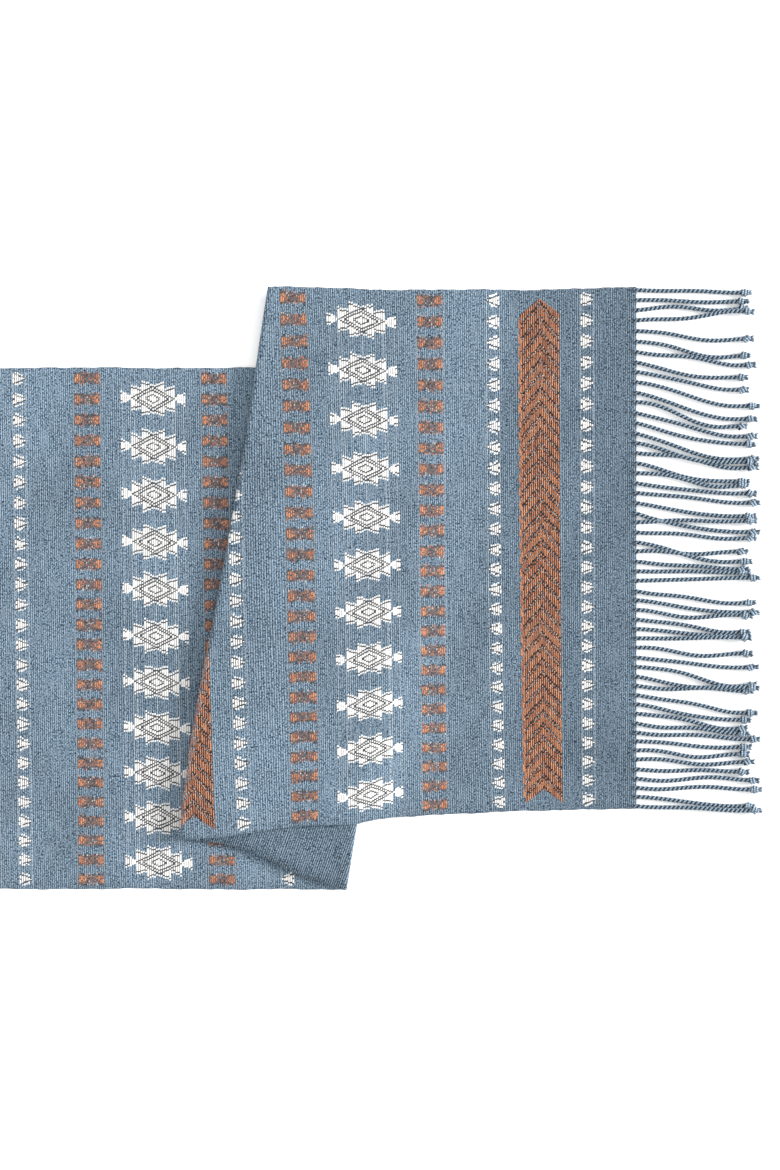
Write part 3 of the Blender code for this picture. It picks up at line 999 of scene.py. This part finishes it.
def brocade_material(name, dark, light, bright, carried, under):
    """Soft thick brocade cotton: twisted strands along each float, a tone of its own for each.

    The yarns that aren't plain floats have tones above 1, and get a colour of their own.
    """
    recipe = Recipe(name, 0.85, 0.12)
    twist = recipe.times(recipe.across, 2 * math.pi / (2.4 * MM))
    strands = recipe.wave(recipe.along, 0.72 * MM, twist)
    fibres = recipe.noise(recipe.stretched(3200, 900), 1.0, 2.0)
    share = recipe.times(recipe.spread(recipe.third, 0.0, 1.0), 0.5)
    share = recipe.plus(share, recipe.times(strands, 0.3))
    toned = recipe.mix(recipe.spread(share, 0.1, 1.0), dark, light)
    toned = recipe.mix(recipe.spread(fibres, 0.5, 0.75, 0.0, 0.5), toned, bright)
    toned = recipe.mix(recipe.spread(recipe.third, 1.5, 2.5), toned, carried)
    blueness = recipe.spread(recipe.third, SPECK_TONE, SPECK_TONE + 1)
    speck = recipe.mix(blueness, colour(0.66, 0.62, 0.56), colour(0.20, 0.25, 0.31))
    toned = recipe.mix(recipe.spread(recipe.third, 3.5, 4.5), toned, speck)
    # the dark ground between floats: its own dark yarn, with painted shade
    toned = recipe.mix(recipe.spread(recipe.third, 6.5, 7.5), toned, under)
    mottle = recipe.spread(fibres, 0.35, 0.65)
    mixed = recipe.mix(mottle, colour(0.036, 0.050, 0.068), colour(0.19, 0.14, 0.13))
    toned = recipe.mix(recipe.spread(recipe.third, 8.5, 9.5), toned, mixed)
    height = recipe.plus(strands, recipe.times(fibres, 0.5))
    return recipe.finish(toned, height, 0.10 * MM)


def cord_material():
    """The blue warp yarn of the fringe: painted shade where plies and a knot's strands meet and under
    frayed ends, pale and fibrous on their crowns.
    """
    recipe = Recipe("fringe_cord_look", 0.88, 0.05)
    strands = recipe.wave(recipe.along, 1.0 * MM, recipe.times(recipe.across, 3.0))
    fibres = recipe.noise(recipe.stretched(1100, 3), 1.0, 3.0, 0.7)
    share = recipe.times(strands, 0.4)
    share = recipe.plus(share, recipe.times(fibres, 0.7))
    toned = recipe.mix(recipe.spread(share, 0.3, 0.8), colour(0.11, 0.175, 0.245), colour(0.49, 0.60, 0.70))
    # painted shade on the side of each yarn that faces its core
    painted_valley_shade = recipe.spread(recipe.across, -0.93, -0.30)
    toned = recipe.mix(painted_valley_shade, toned, colour(0.014, 0.028, 0.046))
    return recipe.finish(toned, share, 0.12 * MM)


def floor_material():
    """A matt near-white table, which glows a little so that it stays white in the low light."""
    recipe = Recipe("table", 0.9, 0.0)
    fine = recipe.noise(recipe.stretched(30, 30), 1.0, 2.0)
    toned = recipe.mix(recipe.spread(fine, 0.3, 0.7), colour(0.96, 0.96, 0.96), colour(0.97, 0.97, 0.97))
    recipe.shader.inputs["Emission Color"].default_value = colour(1, 1, 1)
    recipe.shader.inputs["Emission Strength"].default_value = 0.16
    return recipe.finish(toned, fine, 0.01 * MM)


# ---------------------------------------------------------------- rows and pieces


def node_centre(node):
    """The middle of a CAD node, along the cloth."""
    low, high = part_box(node)
    return (low[0] + high[0]) / 2


def make_brocade_row(kind, name, surface, centre, finishes, seed, point_side):
    """One row of brocade across the cloth."""
    finish, slot = finishes[kind]
    yarns = Yarns(surface, centre, seed, LOOSENESS[kind])
    if kind == "diamond":
        column_pitch, tallness = TOP_DIAMONDS if surface is upper_surface else BOTTOM_DIAMONDS
        weave_diamonds(yarns, column_pitch, tallness)
    elif kind == "tooth":
        weave_teeth(yarns, point_side)
    elif kind == "bow":
        weave_bows(yarns)
    else:
        weave_chevrons(yarns)
    piece = yarns.build(name, finish)
    return piece


# How far the bottom layer's rows stand from the middle of their CAD rows, in millimetres
MAIN_ROW_SHIFTS = {
    "tooth_left": -1.0, "tooth_right": -6.0, "bow_left": -3.1, "diamond": -1.2, "bow_right": -2.2
}
OTHER_ROWS_SHIFT = -0.4


def make_main_rows(finishes):
    """The bottom layer's rows, one for each CAD row."""
    pieces = []
    nodes = sorted(node for node in frame["nodes"] if node.startswith("main_"))
    for seed, node in enumerate(nodes):
        kind = node.split("_")[1]
        if kind not in finishes:
            continue
        point_side = 1 if "left" in node else -1
        row = node.removeprefix("main_").rstrip("_0123456789")
        centre = node_centre(node) + MAIN_ROW_SHIFTS.get(row, OTHER_ROWS_SHIFT) * MM
        piece = make_brocade_row(kind, f"{node}_yarn", lower_surface, centre, finishes, seed, point_side)
        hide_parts(node)
        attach(piece, "main")
        pieces.append(piece)
    return pieces


# The top layer's rows: the CAD nodes, the row's shift from the first node's right edge or middle, and
# the side that its points are on
END_ROWS = (
    ("tooth", ("end_tooth_outer",), 0.7, 1),
    ("chevron", ("end_chevron",), 0.0, 1),
    ("tooth", ("end_tooth_inner",), -0.6, -1),
    ("bow", ("end_bow_right",), -1.0, 1),
    ("diamond", ("end_diamond",), -4.0, 1),
    ("bow", ("end_bow_left",), -6.2, 1),
)
FOLDED_ROWS = (
    ("tooth", ("end_tooth_folded", "fold_tooth"), -5.9, 1),
    ("chevron", ("end_chevron_folded", "fold_chevron"), -16.35, 1),
)
UNDER_ROW_SPACING = 36 * MM  # from the folded chevron row to the row turned under


def make_end_rows(finishes):
    """The top layer's rows, with those that its fold crosses."""
    pieces = []
    for seed, (kind, nodes, shift, point_side) in enumerate(END_ROWS):
        centre = node_centre(nodes[0]) + shift * MM
        name = f"{nodes[0]}_yarn"
        piece = make_brocade_row(kind, name, upper_surface, centre, finishes, 100 + seed, point_side)
        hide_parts(*nodes)
        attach(piece, "end")
        pieces.append(piece)
    for seed, (kind, nodes, shift, point_side) in enumerate(FOLDED_ROWS):
        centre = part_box(nodes[0])[1][0] + shift * MM
        name = f"{nodes[0]}_yarn"
        piece = make_brocade_row(kind, name, upper_surface, centre, finishes, 200 + seed, point_side)
        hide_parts(*nodes)
        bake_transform(piece)
        pieces.append(piece)
    under_centre = centre - UNDER_ROW_SPACING  # beyond the last folded row, the chevron one
    name = "fold_tooth_under_yarn"
    piece = make_brocade_row("tooth", name, upper_surface, under_centre, finishes, 300, -1)
    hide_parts("fold_tooth_under")
    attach(piece, "fold")
    pieces.append(piece)
    return pieces


def make_table_and_light():
    """A pale table, an even pale surrounding and a low soft light from the fringe's side."""
    mesh = bpy.data.meshes.new("table")
    reach = 6.0
    corners = [(-reach, -reach, 0), (reach, -reach, 0), (reach, reach, 0), (-reach, reach, 0)]
    mesh.from_pydata(corners, [], [(0, 1, 2, 3)])
    mesh.materials.append(floor_material())
    table = bpy.data.objects.new("table", mesh)
    bpy.context.collection.objects.link(table)

    world = bpy.data.worlds.new("studio")
    world.use_nodes = True
    background = world.node_tree.nodes["Background"]
    background.inputs["Color"].default_value = colour(1, 1, 1)
    background.inputs["Strength"].default_value = 1.0
    bpy.context.scene.world = world

    lamp = bpy.data.lights.new("window", "SUN")
    lamp.energy = 6.0
    lamp.angle = math.radians(16)
    light = bpy.data.objects.new("window", lamp)
    height = math.radians(18)
    towards = Vector((math.cos(height), 0.12, math.sin(height)))
    light.rotation_euler = towards.to_track_quat("Z", "Y").to_euler()
    light.location = towards * 3
    bpy.context.collection.objects.link(light)


def make_camera():
    """Straight down, with +Y up in the picture."""
    data = bpy.data.cameras.new("camera")
    data.sensor_fit = "VERTICAL"
    data.sensor_height = 36
    data.lens = 36 * CAMERA_HEIGHT / VIEW_HEIGHT
    data.clip_end = 50
    camera = bpy.data.objects.new("camera", data)
    camera.location = (*VIEW_MIDDLE, CAMERA_HEIGHT)
    bpy.context.collection.objects.link(camera)
    bpy.context.scene.camera = camera


def main():
    make_camera()
    make_table_and_light()
    bpy.context.scene.view_settings.view_transform = "Standard"

    ground = ground_material()
    white = brocade_material(
        "white_brocade_look",
        colour(0.72, 0.71, 0.69),
        colour(0.88, 0.87, 0.85),
        colour(0.92, 0.91, 0.90),
        colour(0.42, 0.48, 0.53),
        # the ground between floats: dark yarn with painted shade
        colour(0.050, 0.055, 0.062),
    )
    rust = brocade_material(
        "rust_brocade_look",
        colour(0.28, 0.090, 0.048),
        colour(0.88, 0.380, 0.180),
        colour(0.92, 0.55, 0.37),
        colour(0.30, 0.33, 0.36),
        # the ground between floats: dark yarn with painted shade
        colour(0.030, 0.026, 0.028),
    )
    cords = cord_material()
    finishes = {
        "tooth": (white, "white_brocade"),
        "diamond": (white, "white_brocade"),
        "bow": (rust, "rust_brocade"),
        "chevron": (rust, "rust_brocade"),
    }

    main_rows = make_main_rows(finishes)
    end_rows = make_end_rows(finishes)
    main_fringe = make_fringe(-1, lower_surface, MAIN_DRIFTS, "main", cords, 5)
    end_fringe = make_fringe(1, upper_surface, END_DRIFTS, "end", cords, 7)

    main_cloth = make_main_cloth(ground)
    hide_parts("main_panel", "fold_panel")
    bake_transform(main_cloth)
    end_cloth = make_end_cloth(ground)
    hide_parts("end_panel")
    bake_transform(end_cloth)


main()
